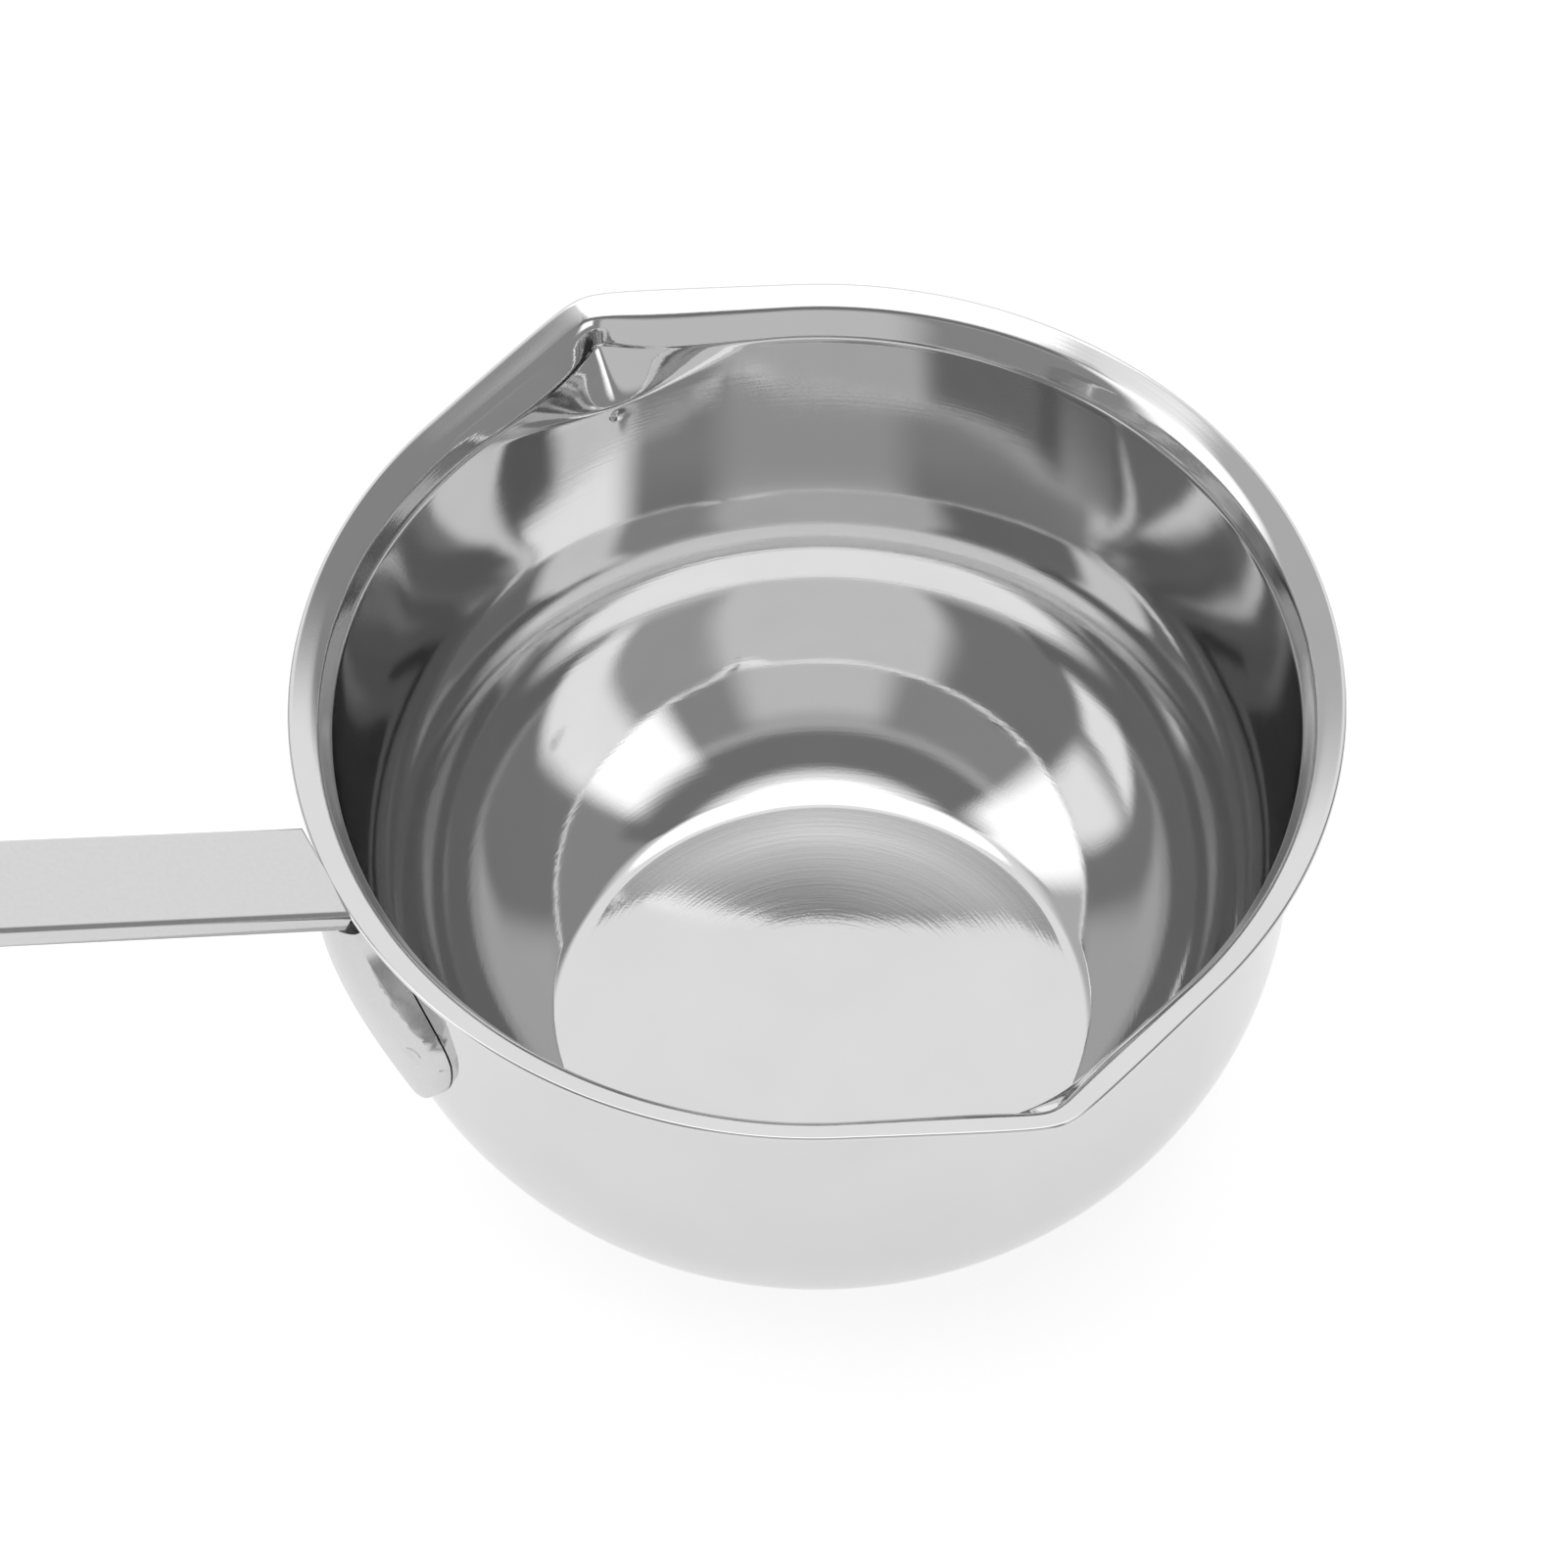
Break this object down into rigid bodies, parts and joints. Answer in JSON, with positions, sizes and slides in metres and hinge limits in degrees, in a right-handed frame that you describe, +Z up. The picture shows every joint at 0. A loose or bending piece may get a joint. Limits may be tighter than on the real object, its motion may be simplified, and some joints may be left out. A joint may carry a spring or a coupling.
{
  "type": "candle melting pot",
  "caption": "Polished steel melting pot for wax: deep round bowl with a flared lip and opposite pouring spouts, and a long channel handle welded on a pressed bracket.",
  "frame": {"origin": "middle of the underside of the bowl's flat base, on the bowl's axis", "axes": "+Z up along the bowl's axis; the handle points along -X and rises outward; the two spouts point along +Y and -Y"},
  "size_m": [0.2733, 0.1506, 0.1499],
  "materials": {
    "bowl_steel": "polished bright, with fine rings left by buffing on a lathe",
    "handle_steel": "satin, tumbled after stamping",
    "bracket_steel": "satin, softly polished"
  },
  "bodies": {
    "root": {"bowl": "bowl_steel", "handle": "handle_steel", "mounting_bracket": "bracket_steel"}
  },
  "joints": []
}
